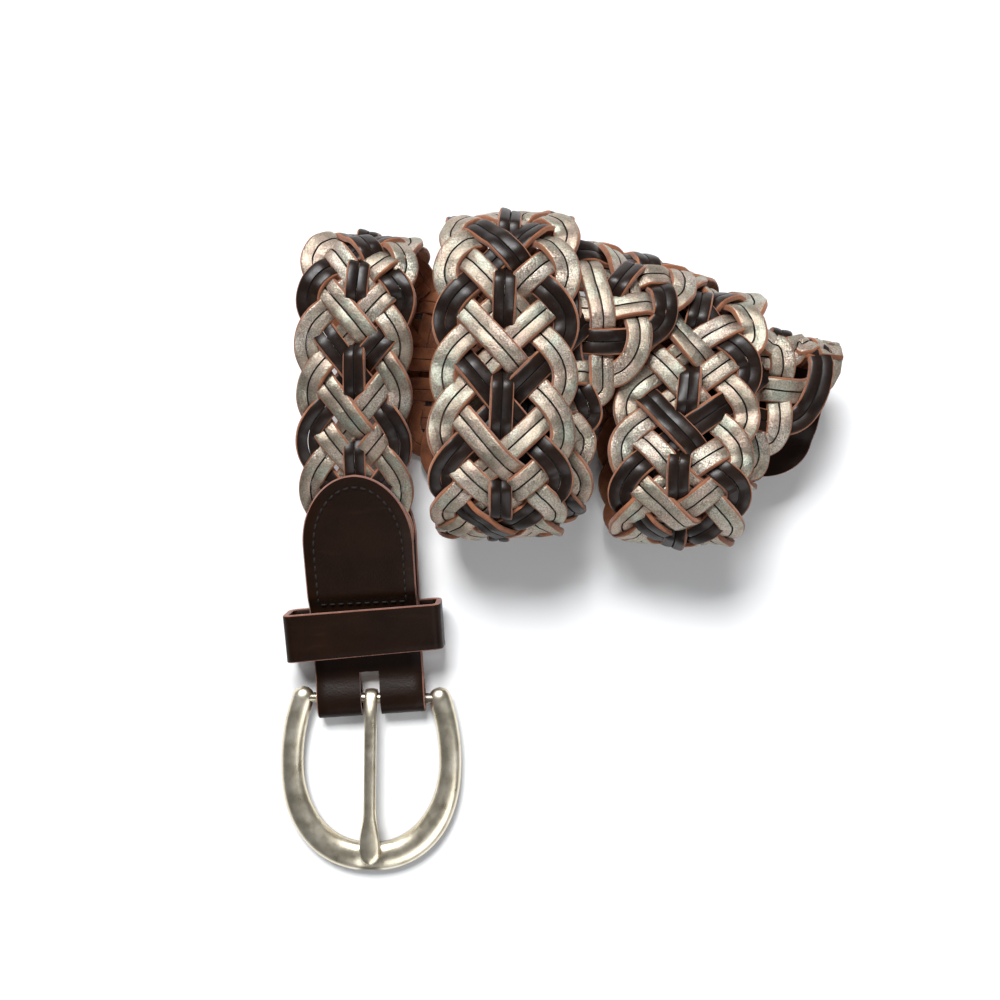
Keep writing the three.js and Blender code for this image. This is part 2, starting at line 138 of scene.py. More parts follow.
def belt_stations():
    """Rows of x, y, z, roll and fold along the centre line, from the buckle's bar to the free end."""
    rows = [full_size(row) for row in TURNS]
    stations = []

    def straight(start, end, lean=1):
        steps = max(1, nearest_whole(abs(end[1] - start[1]) / STATION_SPACING))
        for i in range(1, steps + 1):
            t = i / steps
            others = (lerp(a, b, t) for a, b in zip(start[1:], end[1:]))
            stations.append((lerp(start[0], end[0], t ** lean), *others))

    def bend(start, end, side):
        radius = abs(start[2] - end[2]) / 2
        fold = math.radians(start[4])
        steps = max(4, nearest_whole(math.pi * radius / STATION_SPACING))
        for i in range(1, steps + 1):
            t = i / steps
            angle = math.pi * t
            reach = side * radius * math.sin(angle)
            x = lerp(start[0], end[0], t) + reach * math.sin(fold)
            y = start[1] + reach * math.cos(fold)
            z = lerp(start[2], end[2], (1 - math.cos(angle)) / 2)
            stations.append((x, y, z, lerp(start[3], end[3], t), start[4]))

    for k, row in enumerate(rows):
        north_y = row["north"] - (row["up_north_z"] - row["low_north_z"]) / 2
        up_north = (row["up_north_x"], north_y, row["up_north_z"], row["up_roll"], row["fold"])
        low_north = (row["low_north_x"], north_y, row["low_north_z"], row["low_roll"], row["fold"])
        if k == 0:
            steps = nearest_whole((north_y - BAR["y"]) / STATION_SPACING)
            for i in range(steps + 1):
                t = i / steps
                bow = FIRST_RUN["bow"] * math.sin(math.pi * t)
                stations.append((lerp(BAR["x"], FIRST_RUN["end_x"], t) - bow, lerp(BAR["y"], north_y, t),
                                 lerp(BAR["z"], up_north[2], float(smooth(t, 0, 1))), 0, row["fold"] * t))
        else:
            before = rows[k - 1]
            south_y = row["south"] + (row["up_south_z"] - before["low_south_z"]) / 2
            up_south = (row["up_south_x"], south_y, row["up_south_z"], row["up_roll"], 0)
            bend((before["low_south_x"], south_y, before["low_south_z"], before["low_roll"], 0), up_south, -1)
            straight(up_south, up_north, row["lean"])
        bend(up_north, low_north, 1)
        if k + 1 < len(rows):
            after = rows[k + 1]
            end_y = after["south"] + (after["up_south_z"] - row["low_south_z"]) / 2
        else:
            end_y = TIP["tail_south"]
        straight(low_north, (row["low_south_x"], end_y, row["low_south_z"], row["low_roll"], 0))
    return np.array(stations, float)


def through(points, t):
    """Uniform Catmull-Rom curve through the rows of points, t counting the rows."""
    whole = np.clip(np.floor(t).astype(int), 0, len(points) - 2)
    f = (t - whole)[:, None]
    padded = np.vstack([2 * points[0] - points[1], points, 2 * points[-1] - points[-2]])
    a, b, c, d = (padded[whole + k] for k in range(4))
    v0, v1 = (c - a) / 2, (d - b) / 2
    return (2 * b - 2 * c + v0 + v1) * f ** 3 + (3 * c - 3 * b - 2 * v0 - v1) * f ** 2 + v0 * f + b


def unit(rows):
    return rows / np.linalg.norm(rows, axis=-1, keepdims=True)


class Route:
    """Places on the belt from a distance along it, across it and out of its grain side."""

    def __init__(self):
        stations = belt_stations()
        t = np.linspace(0, len(stations) - 1, 60 * (len(stations) - 1) + 1)
        line = through(stations, t)
        self.centre = line[:, :3]
        spans = np.linalg.norm(np.diff(self.centre, axis=0), axis=1)
        self.reach = np.concatenate([[0], np.cumsum(spans)])
        self.length = self.reach[-1]
        self.along = unit(np.gradient(self.centre, axis=0))
        roll, fold = np.radians(line[:, 3])[:, None], np.radians(line[:, 4])
        right = np.stack([np.cos(fold), -np.sin(fold), np.zeros_like(fold)], -1)
        flat = unit(right - self.along * np.sum(self.along * right, axis=1, keepdims=True))
        out = np.cross(flat, self.along)
        self.across = flat * np.cos(roll) + out * np.sin(roll)
        self.grain = out * np.cos(roll) - flat * np.sin(roll)
        self.origin = np.zeros(3)

    def axes(self, distance):
        inside = np.clip(distance, 0, self.length)

        def pick(rows):
            return np.stack([np.interp(inside, self.reach, rows[:, k]) for k in range(3)], -1)

        centre, along, across, grain = (pick(v) for v in (self.centre, self.along, self.across, self.grain))
        centre = centre + along * (distance - inside)[..., None] + self.origin
        return centre, unit(along), unit(across), unit(grain)

    def at(self, distance, across, out):
        distance, across, out = np.broadcast_arrays(*(np.asarray(v, float) for v in (distance, across, out)))
        centre, _, side, grain = self.axes(distance)
        return centre + side * across[..., None] + grain * out[..., None]


route = Route()
BRAID_START = STRAP["open_from"]
BRAID_END = route.length - TIP["length"] + TIP["overlap"]
LEAVES_TAB = STRAP["length"] - BRAID_START + BRAID["step"]
LEAVES_TIP = TIP["overlap"] + BRAID["step"]


def braid_width(distance):
    from_start, from_end = distance - BRAID_START, BRAID_END - distance
    near_tab = lerp(BRAID["end"], BRAID["narrow"], smooth(from_start, 0, LEAVES_TAB * 0.6))
    full = lerp(near_tab, BRAID["width"], smooth(from_start, 2 * LEAVES_TAB, 4.5 * LEAVES_TAB))
    return lerp(BRAID["end"], full, smooth(from_end, 0, 2 * LEAVES_TIP))


def set_origin():
    """Moves the route into the part's frame, where the frame's hinge lies on the buckle's bar."""
    hinge = next(joint for joint in frame["joints"] if joint["name"] == "frame_hinge")
    route.origin = np.array(hinge["pos_m"]) / MM - (BAR["x"], BAR["y"], BAR["z"])


def weave_phase():
    """Crossings passed at each distance, with the marks' corners blurred away."""
    marks = np.array(WEAVE_MARKS)
    distance = np.arange(0, route.length + 1, 0.5)
    phase = np.interp(distance, marks[:, 0], marks[:, 1])
    first = (marks[1, 1] - marks[0, 1]) / (marks[1, 0] - marks[0, 0])
    phase = np.where(distance < marks[0, 0], marks[0, 1] + (distance - marks[0, 0]) * first, phase)
    count = int(MARK_BLUR / 0.5)
    padded = np.concatenate([phase[0] - np.arange(count, 0, -1) * first * 0.5, phase,
                             phase[-1] + np.arange(1, count + 1) * first * 0.5])
    kernel = np.hanning(2 * count + 1)
    return distance, np.convolve(padded, kernel / kernel.sum(), mode="valid")


# Meshes

def build_mesh(name, points, faces, material, colours=None, uvs=None, sharp=35):
    """An object from points in millimetres. colours gives each face's material slot."""
    mesh = bpy.data.meshes.new(name)
    mesh.from_pydata((np.asarray(points) * MM).tolist(), [], [list(face) for face in faces])
    for entry in material if isinstance(material, (list, tuple)) else [material]:
        mesh.materials.append(entry)
    if colours is not None:
        mesh.polygons.foreach_set("material_index", np.asarray(colours, np.int32))
    if uvs is not None:
        layer = mesh.uv_layers.new(name="UVMap")
        corner_points = np.empty(len(mesh.loops), np.int32)
        mesh.loops.foreach_get("vertex_index", corner_points)
        layer.data.foreach_set("uv", np.asarray(uvs, np.float32)[corner_points].ravel())
    mesh.validate()
    mesh.update()
    mesh.shade_smooth()
    mesh.set_sharp_from_angle(angle=math.radians(sharp))
    piece = bpy.data.objects.new(name, mesh)
    bpy.context.collection.objects.link(piece)
    return piece


def ring_faces(rings, count, closed=False):
    """Quads between neighbouring rings, as an array of point numbers, row by row."""
    spans = rings if closed else rings - 1
    i = np.arange(spans)[:, None]
    j = np.arange(count)[None, :]
    here, there = i * count, ((i + 1) % rings) * count
    k = (j + 1) % count
    return np.stack([here + j, here + k, there + k, there + j], -1).reshape(-1, 4)


def tube_faces(rings, count):
    """Faces of a closed tube through its rings of points, with the two end faces last."""
    caps = [tuple(range(count))[::-1], tuple((rings - 1) * count + j for j in range(count))]
    return ring_faces(rings, count).tolist() + caps


def turned_tube_faces(rings, count):
    """The same for rings that run the other way round."""
    caps = [tuple(range(count)), tuple((rings - 1) * count + j for j in range(count))[::-1]]
    return ring_faces(rings, count)[:, ::-1].tolist() + caps


def lace_section(width, side):
    """Section of one lace of a pair, anticlockwise, with each side's part: 0 is grain, 1 is cut edge or suede
    and 2 is the edge in the slit, which takes near-black suede as painted shade. The edge away from its
    partner slopes, so that it shows."""
    half, top, corner, slope = width / 2, LACE["thickness"] / 2, LACE["corner"], LACE["slope"]
    right_reach, left_reach = (slope, corner) if side > 0 else (corner, slope)
    crown = [(x, top - LACE["camber"] * (x / half) ** 2)
             for x in (half - right_reach, 0.5 * half, 0, -0.5 * half, left_reach - half)]
    shoulder = top - LACE["camber"] - LACE["shoulder"] * corner
    foot = -LACE["edge_foot"] * top
    right_edge = [(half, foot), (half - 0.2 * right_reach, shoulder)]
    left_edge = [(0.2 * left_reach - half, shoulder), (-half, foot)]
    bottom = [(-LACE["underside"] * half, -top), (LACE["underside"] * half, -top)]
    points = [*right_edge, *crown, *left_edge, *bottom]
    right_part, left_part = (1, 2) if side > 0 else (2, 1)
    return np.array(points), np.array((right_part, right_part, 0, 0, 0, 0, left_part, left_part, 1, 1, 1))


# Materials

class Nodes:
    """Small helper that adds and links shader nodes."""

    def fill(self, socket, value):
        if isinstance(value, bpy.types.NodeSocket):
            self.tree.links.new(value, socket)
        else:
            socket.default_value = value

    def __init__(self, name):
        self.material = bpy.data.materials.new(name)
        self.material.use_nodes = True
        self.tree = self.material.node_tree
        self.shader = self.tree.nodes["Principled BSDF"]

    def add(self, kind, inputs=None, **settings):
        node = self.tree.nodes.new(kind)
        for key, value in settings.items():
            setattr(node, key, value)
        for key, value in (inputs or {}).items():
            self.fill(node.inputs[key], value)
        return node

    def noise(self, place, scale, detail=3.0, roughness=0.55):
        return self.add("ShaderNodeTexNoise", {"Vector": place, "Scale": scale, "Detail": detail,
                                               "Roughness": roughness}).outputs["Fac"]

    def cells(self, place, scale, feature="F1"):
        node = self.add("ShaderNodeTexVoronoi", {"Vector": place, "Scale": scale}, feature=feature)
        return node.outputs["Distance"]

    def ramp(self, value, stops):
        node = self.add("ShaderNodeValToRGB", {"Fac": value})
        elements = node.color_ramp.elements
        while len(elements) < len(stops):
            elements.new(0.5)
        for element, (position, colour) in zip(elements, stops):
            element.position = position
            element.color = (*colour, 1) if len(colour) == 3 else colour
        return node.outputs["Color"]

    def grey(self, value, low, high, start=0.0, end=1.0):
        limits = {"Value": value, "From Min": low, "From Max": high, "To Min": start, "To Max": end}
        return self.add("ShaderNodeMapRange", limits, clamp=True).outputs["Result"]

    def mix(self, factor, a, b, blend="MIX"):
        node = self.add("ShaderNodeMix", data_type="RGBA", blend_type=blend)
        for socket, value in ((node.inputs[0], factor), (node.inputs[6], a), (node.inputs[7], b)):
            self.fill(socket, (*value, 1) if isinstance(value, tuple) else value)
        return node.outputs[2]

    def maths(self, operation, a, b):
        node = self.add("ShaderNodeMath", operation=operation)
        self.fill(node.inputs[0], a)
        self.fill(node.inputs[1], b)
        return node.outputs[0]

    def bump(self, height, strength, distance):
        node = self.add("ShaderNodeBump", {"Height": height, "Strength": strength, "Distance": distance})
        self.tree.links.new(node.outputs["Normal"], self.shader.inputs["Normal"])

    def link(self, socket, name):
        self.tree.links.new(socket, self.shader.inputs[name])

    def set(self, **values):
        for key, value in values.items():
            self.shader.inputs[key.replace("_", " ").title().replace("Ior", "IOR")].default_value = value

    def place(self):
        return self.add("ShaderNodeTexCoord").outputs["Object"]


def silver_leather():
    """Metallic foil on leather: warm silver with a pebbled grain, dark specks and faint pearly tints."""
    n = Nodes("silver_leather")
    place = n.place()
    broad = n.noise(place, 75.0, 2.0)
    tint = n.noise(place, 130.0, 2.0)
    grain = n.noise(place, 1900.0, 4.0, 0.7)
    pebble = n.cells(place, 2100.0)
    crackle = n.cells(place, 1300.0, "DISTANCE_TO_EDGE")
    base = n.ramp(broad, [(0.3, (0.24, 0.2, 0.155)), (0.52, (0.36, 0.315, 0.255)), (0.72, (0.54, 0.5, 0.44))])
    green = n.mix(n.grey(tint, 0.52, 0.68, 0.0, 0.5), base, (0.40, 0.50, 0.43))
    pearly = n.mix(n.grey(tint, 0.48, 0.34, 0.0, 0.45), green, (0.58, 0.42, 0.36))
    mottled = n.mix(n.grey(grain, 0.36, 0.66, 0.0, 0.75), pearly, (0.72, 0.68, 0.62), "SOFT_LIGHT")
    shaded = n.mix(n.grey(grain, 0.56, 0.40, 0.0, 0.55), mottled, (0.19, 0.145, 0.11))
    lines = n.maths("MULTIPLY", n.grey(crackle, 0.07, 0.0), n.grey(broad, 0.42, 0.56))
    cracked = n.mix(n.maths("MULTIPLY", lines, 0.7), shaded, (0.10, 0.06, 0.04))
    n.link(cracked, "Base Color")
    n.link(n.grey(grain, 0.3, 0.75, 0.31, 0.5), "Roughness")
    n.set(metallic=0.94)
    pebbled = n.maths("ADD", grain, n.maths("MULTIPLY", pebble, 0.5))
    height = n.maths("ADD", pebbled, n.maths("MULTIPLY", lines, -0.6))
    n.bump(height, 0.55, 0.0003)
    return n.material


def dark_lace_leather():
    """Near-black brown grain leather, semi-gloss, with fine pores and slight rubbing."""
    n = Nodes("dark_lace_leather")
    place = n.place()
    broad = n.noise(place, 120.0, 3.0)
    pores = n.cells(place, 2600.0)
    wrinkle = n.noise(place, 1100.0, 4.0, 0.6)
    base = n.ramp(broad, [(0.3, (0.005, 0.0022, 0.0012)), (0.7, (0.014, 0.0065, 0.0038))])
    colour = n.mix(n.grey(wrinkle, 0.58, 0.78, 0.0, 0.25), base, (0.045, 0.023, 0.015))
    n.link(colour, "Base Color")
    n.link(n.grey(wrinkle, 0.3, 0.7, 0.3, 0.42), "Roughness")
    n.shader.inputs["Specular IOR Level"].default_value = 0.27
    n.bump(n.maths("ADD", wrinkle, n.maths("MULTIPLY", pores, 0.5)), 0.1, 0.0002)
    return n.material


def suede(name, dark, mid, light, sheen=0.25):
    """Raw flesh side and cut edges: short nap, rust-coloured, or near black where it paints the shade in the
    slit.
    """
    n = Nodes(name)
    place = n.place()
    broad = n.noise(place, 160.0, 3.0)
    nap = n.noise(place, 2400.0, 5.0, 0.7)
    base = n.ramp(broad, [(0.28, dark), (0.5, mid), (0.75, light)])
    colour = n.mix(n.grey(nap, 0.35, 0.7, 0.0, 0.55), base, light)
    n.link(colour, "Base Color")
    n.set(roughness=0.92)
    n.shader.inputs["Sheen Weight"].default_value = sheen
    n.bump(nap, 0.6, 0.0004)
    return n.material


def strap_leather():
    """Very dark brown smooth strap leather with fine grain and long faint creases."""
    n = Nodes("strap_leather")
    place = n.place()
    broad = n.noise(place, 60.0, 3.0)
    grain = n.cells(place, 1700.0)
    stretched = n.add("ShaderNodeMapping", {"Vector": place, "Scale": (60, 260, 260)}).outputs[0]
    crease = n.noise(stretched, 1.0, 4.0)
    base = n.ramp(broad, [(0.3, (0.008, 0.0030, 0.0013)), (0.7, (0.015, 0.0058, 0.0024))])
    colour = n.mix(n.grey(crease, 0.6, 0.8, 0.0, 0.3), base, (0.045, 0.018, 0.010))
    n.shader.inputs["Specular IOR Level"].default_value = 0.11
    n.link(colour, "Base Color")
    n.link(n.grey(crease, 0.3, 0.7, 0.36, 0.5), "Roughness")
    n.bump(n.maths("ADD", n.maths("MULTIPLY", grain, 0.6), crease), 0.28, 0.0002)
    return n.material


def antique_silver():
    """Cast antique silver: pale rubbed crown, and lower sides darkened as painted shade for their dark
    reflections, mixed with cloudy patina; pits and soft scratches.
    """
    n = Nodes("antique_silver")
    place = n.place()
    # The UV map's first value is a painted shade mask: 0 on the crown, higher on the lower sides.
    crown = n.add("ShaderNodeUVMap", uv_map="UVMap").outputs["UV"]
    side_shade = n.add("ShaderNodeSeparateXYZ", {"Vector": crown}).outputs["X"]
    cloud = n.noise(place, 170.0, 4.0, 0.6)
    pits = n.cells(place, 900.0)
    fine = n.noise(place, 2200.0, 3.0)
    rubbed = n.ramp(cloud, [(0.3, (0.64, 0.56, 0.41)), (0.5, (0.79, 0.71, 0.55)), (0.75, (0.88, 0.82, 0.69))])
    # Darker where the painted shade mask is high, on the lower sides, with cloud noise mixed in as patina.
    shade_and_patina = n.maths("ADD", side_shade, n.maths("MULTIPLY", n.maths("SUBTRACT", cloud, 0.5), 0.5))
    shaded_and_aged = n.mix(n.grey(shade_and_patina, 0.45, 0.95, 0.0, 0.85), rubbed, (0.11, 0.10, 0.085))
    dots = n.maths("MULTIPLY", n.grey(pits, 0.16, 0.06), n.grey(fine, 0.5, 0.62))
    colour = n.mix(n.maths("MULTIPLY", dots, 0.8), shaded_and_aged, (0.09, 0.08, 0.065))
    n.link(colour, "Base Color")
    n.link(n.grey(cloud, 0.3, 0.7, 0.26, 0.4), "Roughness")
    n.set(metallic=1.0)
    n.bump(n.maths("SUBTRACT", n.maths("MULTIPLY", fine, 0.4), dots), 0.25, 0.0002)
    return n.material


def thread_material():
    n = Nodes("waxed_thread")
    twist = n.noise(n.place(), 2500.0, 2.0)
    n.link(n.ramp(twist, [(0.35, (0.004, 0.003, 0.002)), (0.7, (0.022, 0.016, 0.012))]), "Base Color")
    n.set(roughness=0.7)
    n.shader.inputs["Specular IOR Level"].default_value = 0.25
    n.bump(twist, 0.4, 0.0002)
    return n.material


def floor_material():
    n = Nodes("pale_floor")
    cloud = n.noise(n.place(), 4.0)
    n.link(n.ramp(cloud, [(0.3, (0.86, 0.86, 0.86)), (0.7, (0.88, 0.88, 0.88))]), "Base Color")
    n.set(roughness=0.9)
    return n.material


RUST = {"dark": (0.085, 0.024, 0.009), "mid": (0.20, 0.062, 0.022), "light": (0.36, 0.135, 0.055)}
# Near-black suede for the lace edges inside the slit between a pair: painted shade for the deep shadow there.
PAINTED_SLIT_SHADE = {"dark": (0.003, 0.0015, 0.001), "mid": (0.007, 0.003, 0.002), "light": (0.014, 0.007, 0.004)}
REDDISH = {"dark": (0.09, 0.025, 0.015), "mid": (0.20, 0.065, 0.04), "light": (0.36, 0.15, 0.10)}


def make_materials():
    return {
        "silver": silver_leather(), "dark": dark_lace_leather(), "suede": suede("rust_suede", **RUST),
        "strap": strap_leather(), "cut": suede("reddish_cut_edge", **REDDISH), "metal": antique_silver(),
        "thread": thread_material(), "slit": suede("slit_edge_painted_shade", **PAINTED_SLIT_SHADE, sheen=0.0),
    }


# The braid's laces

def triangle_wave(phase):
    """-1 at whole turns, 1 halfway, with its corners rounded by a parabola."""
    turn = np.mod(phase / DIAGONALS, 1.0)
    wave = 1 - 4 * np.abs(turn - 0.5)
    half = TURN_ROUNDING
    slope = 4 / DIAGONALS
    from_corner = np.minimum(turn, np.minimum(1 - turn, np.abs(turn - 0.5))) * DIAGONALS
    near_high = np.abs(turn - 0.5) * DIAGONALS < half
    near_low = np.minimum(turn, 1 - turn) * DIAGONALS < half
    cut = slope * (half / 2 + from_corner ** 2 / (2 * half))
    wave = np.where(near_high, 1 - cut, wave)
    return np.where(near_low, cut - 1, wave)


PEAK = 1 - (4 / DIAGONALS) * TURN_ROUNDING / 2

# Heights of a diagonal at its crossings, in half thicknesses, by crossings since its left turn.
# The middle column differs with the middle lace's level there.
SIDE_LEVELS = {0.0: 0, 0.5: 1, 1.0: -1, 2.0: 1, 2.5: -1, 3.0: 0, 3.5: 1, 4.0: -1, 5.0: 1, 5.5: -1}


def diagonal_level(strand, phase):
    """Height of a diagonal strand along its way, in half lace thicknesses."""
    local = phase - strand
    turn = np.floor(local / DIAGONALS).astype(int)
    first, last = turn.min(), turn.max()
    places, levels = [], []
    for t in range(first, last + 1):
        base = t * DIAGONALS
        entries = dict(SIDE_LEVELS)
        right_cross = nearest_whole(strand + base + 1.0)
        left_cross = nearest_whole(strand + base + 4.0)
        entries[1.5] = 2 if right_cross % 2 == 0 else 0
        entries[4.5] = 0 if left_cross % 2 == 0 else -2
        for key in sorted(entries):
            places.append(base + key)
            levels.append(entries[key])
    places, levels = np.array(places, float), np.array(levels, float)
    index = np.clip(np.searchsorted(places, local, side="right") - 1, 0, len(places) - 2)
    t = (local - places[index]) / (places[index + 1] - places[index])
    return lerp(levels[index], levels[index + 1], smooth(t, 0.25, 0.75))


def middle_level(phase):
    """Height of the straight middle strand, under one crossing of the diagonals and over the next."""
    from_low = np.abs(np.mod(phase - 0.5 + 1, 2) - 1)
    return lerp(-2, 2, smooth(from_low, 0.3, 0.7))


def wander(phase, seed, size):
    """A small uneven drift along a strand, the same each run."""
    return size * (np.sin(phase * 0.83 + seed * 1.7) + 0.6 * np.sin(phase * 1.91 + seed * 4.1)) / 1.6


def strand_path(strand, distance, phase):
    """Across, height and roll of a strand. strand is None for the straight middle one."""
    strip_half = LACE["width"] + LACE["slit"] / 2
    _, along, _, _ = route.axes(distance)
    half = braid_width(distance) / 2 * (1 - BEND_PULL * along[:, 2] ** 2)
    if strand is None:
        seed = DIAGONALS + 3
        across = np.zeros_like(distance)
        level = middle_level(phase)
    else:
        seed = strand
        across = -(half - strip_half) / PEAK * triangle_wave(phase - strand)
        level = diagonal_level(strand, phase)
    free = np.minimum(smooth(distance, STRAP["length"], STRAP["length"] + LOOSENS_OVER),
                      smooth(BRAID_END - distance, TIP["overlap"], TIP["overlap"] + LOOSENS_OVER))
    lift = level * LACE["thickness"] / 2 * lerp(HELD_LEVEL, 1.0, free)
    height = lift + wander(phase, seed + 5, HEIGHT_DRIFT) * free
    height = height - CROWN * free * (across / half) ** 2
    roll = np.radians(wander(phase * 1.6, seed + 2, STRAND_ROLL)) * lerp(HELD_ROLL, 1.0, free)
    return across + wander(phase, seed, STRAND_DRIFT) * free, height, roll


def make_lace(name, strand, side, surfaces, distance, phase):
    across, height, roll = strand_path(strand, distance, phase)
    centre = route.at(distance, across, height)
    tangent = unit(np.gradient(centre, axis=0))
    _, _, _, grain = route.axes(distance)
    sideways = unit(np.cross(tangent, grain))
    up = unit(np.cross(sideways, tangent))
    roll = roll[:, None]
    sideways, up = sideways * np.cos(roll) + up * np.sin(roll), up * np.cos(roll) - sideways * np.sin(roll)
    width = LACE["middle_width"] if strand is None else LACE["width"]
    centre = centre + sideways * side * (width + LACE["slit"]) / 2
    section, parts = lace_section(width, side)
    points = (centre[:, None, :] + sideways[:, None, :] * section[None, :, :1]
              + up[:, None, :] * section[None, :, 1:]).reshape(-1, 3)
    points[:, 2] = np.maximum(points[:, 2], TABLE_GAP)
    rings, count = len(centre), len(section)
    colours = np.concatenate([np.tile(parts, rings - 1), [1, 1]])
    return build_mesh(name, points, tube_faces(rings, count), surfaces, colours, sharp=38)


def make_braid(materials):
    all_distance, all_phase = weave_phase()
    first, last = (np.interp(end, all_distance, all_phase) for end in (BRAID_START, BRAID_END))
    phase = np.linspace(first, last, int((last - first) * RINGS_PER_PITCH))
    distance = np.interp(phase, all_phase, all_distance)
    pieces = []
    for side in (-1, 1):
        hand = "left" if side < 0 else "right"
        for strand in range(DIAGONALS):
            leather = materials["dark"] if strand % DARK_EVERY == 1 else materials["silver"]
            # Each lace's third surface is the slit's edge, near-black suede that paints the shade between a
            # pair's laces.
            surfaces = [leather, materials["suede"], materials["slit"]]
            pieces.append(make_lace(f"lace_{strand + 1}_{hand}", strand, side, surfaces, distance, phase))
        surfaces = [materials["dark"], materials["suede"], materials["slit"]]
        pieces.append(make_lace(f"lace_middle_{hand}", None, side, surfaces, distance, phase))
    for piece in pieces:
        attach(piece, "belt")
        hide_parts("braid")


# Strap, keeper and tip

FOLD_RADIUS = BAR["radius"] + 0.5 + LEATHER / 2
CLOSE_GAP = (LEATHER + CLEARANCE) / 2
OPEN_GAP = PRESSED / 2 + CLEARANCE + LEATHER / 2


def layer_gap(distance):
    closed = lerp(FOLD_RADIUS, CLOSE_GAP, smooth(distance, 0, STRAP["close_from"]))
    return lerp(closed, OPEN_GAP, smooth(distance, STRAP["close_to"], STRAP["open_from"]))


def arched_half(to_end, width, arch):
    share = np.clip((arch - to_end) / arch, 0, 1)
    return (width / 2) * np.sqrt(np.maximum(1 - share ** 2, 0))


def sheet_section(half, thickness, bevel=0.35, across_steps=10):
    """Section of a leather sheet, anticlockwise: across and out, with its part (0 grain, 1 edge)."""
    top = thickness / 2
    inner = max(half - bevel, half * 0.5)
    xs = np.linspace(inner, -inner, across_steps + 1)
    upper = [(x, top) for x in xs]
    lower = [(x, -top) for x in xs[::-1]]
    left = [(-half, top - bevel), (-half, -top + bevel)]
    right = [(half, -top + bevel), (half, top - bevel)]
    parts = [0] * across_steps + [1, 1, 1] + [2] * across_steps + [1, 1, 1]
    return np.array(upper + left + lower + right), parts


def fold_line():
    """Centre line of the folded strap as (along, out) from the back layer's end to the front's."""
    steps = np.linspace(0, 1, 71)
    distance = STRAP["length"] * (1 - steps ** 1.25)
    near_end = STRAP["length"] - STRAP["arch"] * (1 - np.cos(np.linspace(0, math.pi / 2, 22)))
    distance = np.unique(np.round(np.concatenate([distance, near_end]), 3))[::-1]
    layer = np.stack([distance, layer_gap(distance)], -1)
    back = layer * (1, -1)
    front = layer[::-1]
    angle = -math.pi / 2 - math.pi * np.linspace(0, 1, 21)
    fold = np.stack([-STRAP["fold_slack"] + FOLD_RADIUS * np.cos(angle), FOLD_RADIUS * np.sin(angle)], -1)
    return np.vstack([back, fold, front])


def make_strap(materials):
    line = fold_line()
    step = unit(np.gradient(line, axis=0))
    normal = np.stack([-step[:, 1], step[:, 0]], -1)
    points, parts = [], None
    for (along, out), (n_along, n_out) in zip(line, normal):
        half = max(float(arched_half(STRAP["length"] - along, STRAP["width"], STRAP["arch"])), 0.8)
        section, parts = sheet_section(half, LEATHER)
        shift = STRAP["back_shift"] * float(smooth(along, 0, STRAP["length"])) if out < 0 else 0.0
        distances, heights = along + section[:, 1] * n_along, out + section[:, 1] * n_out
        points.append(route.at(distances, section[:, 0] + shift, heights))
    count = len(parts)
    rings = len(points)
    kinds = np.tile([1 if part == 1 else 0 for part in parts], rings - 1)
    strap = build_mesh("buckle_strap_leather", np.vstack(points), turned_tube_faces(rings, count),
                       [materials["strap"], materials["cut"]], np.concatenate([kinds, [1, 1]]), sharp=50)
    cut_slot(strap, materials)
    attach(strap, "belt")
    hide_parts("buckle_strap")


def cut_slot(strap, materials):
    """Cuts the prong's slot through the fold."""
    reach = FOLD_RADIUS + LEATHER + STRAP["fold_slack"]
    centre, along, across, grain = (v[0] for v in route.axes(np.array([0.0])))
    middle = centre + along * (STRAP["slot_north"] - reach) / 2
    size = (STRAP["slot_width"], STRAP["slot_north"] + reach, 4 * FOLD_RADIUS)
    mesh = bpy.data.meshes.new("slot_cutter")
    shape = bmesh.new()
    bmesh.ops.create_cube(shape, size=1.0)
    turn = Matrix((across, along, grain)).transposed().to_4x4()
    scale = Matrix.Diagonal((*[v * MM for v in size], 1))
    shape.transform(Matrix.Translation(Vector(middle * MM)) @ turn @ scale)
    shape.to_mesh(mesh)
    shape.free()
    mesh.materials.append(materials["cut"])
    cutter = bpy.data.objects.new("slot_cutter", mesh)
    bpy.context.collection.objects.link(cutter)
    modifier = strap.modifiers.new("slot", "BOOLEAN")
    modifier.operation = "DIFFERENCE"
    modifier.object = cutter
    modifier.solver = "EXACT"
    modifier.material_mode = "TRANSFER"
    apply_modifiers(strap)
    bpy.data.objects.remove(cutter)


def apply_modifiers(piece):
    graph = bpy.context.evaluated_depsgraph_get()
    finished = bpy.data.meshes.new_from_object(piece.evaluated_get(graph))
    piece.modifiers.clear()
    piece.data = finished


def rounded_outline(half, low, high, corner, steps=8):
    points = []
    for quarter, (side_x, side_y) in enumerate(((1, 1), (-1, 1), (-1, -1), (1, -1))):
        for i in range(steps + 1):
            angle = (quarter + i / steps) * math.pi / 2
            middle_y = high - corner if side_y > 0 else low + corner
            x = side_x * (half - corner) + corner * math.cos(angle)
            points.append((x, middle_y + corner * math.sin(angle)))
    return np.array(points)


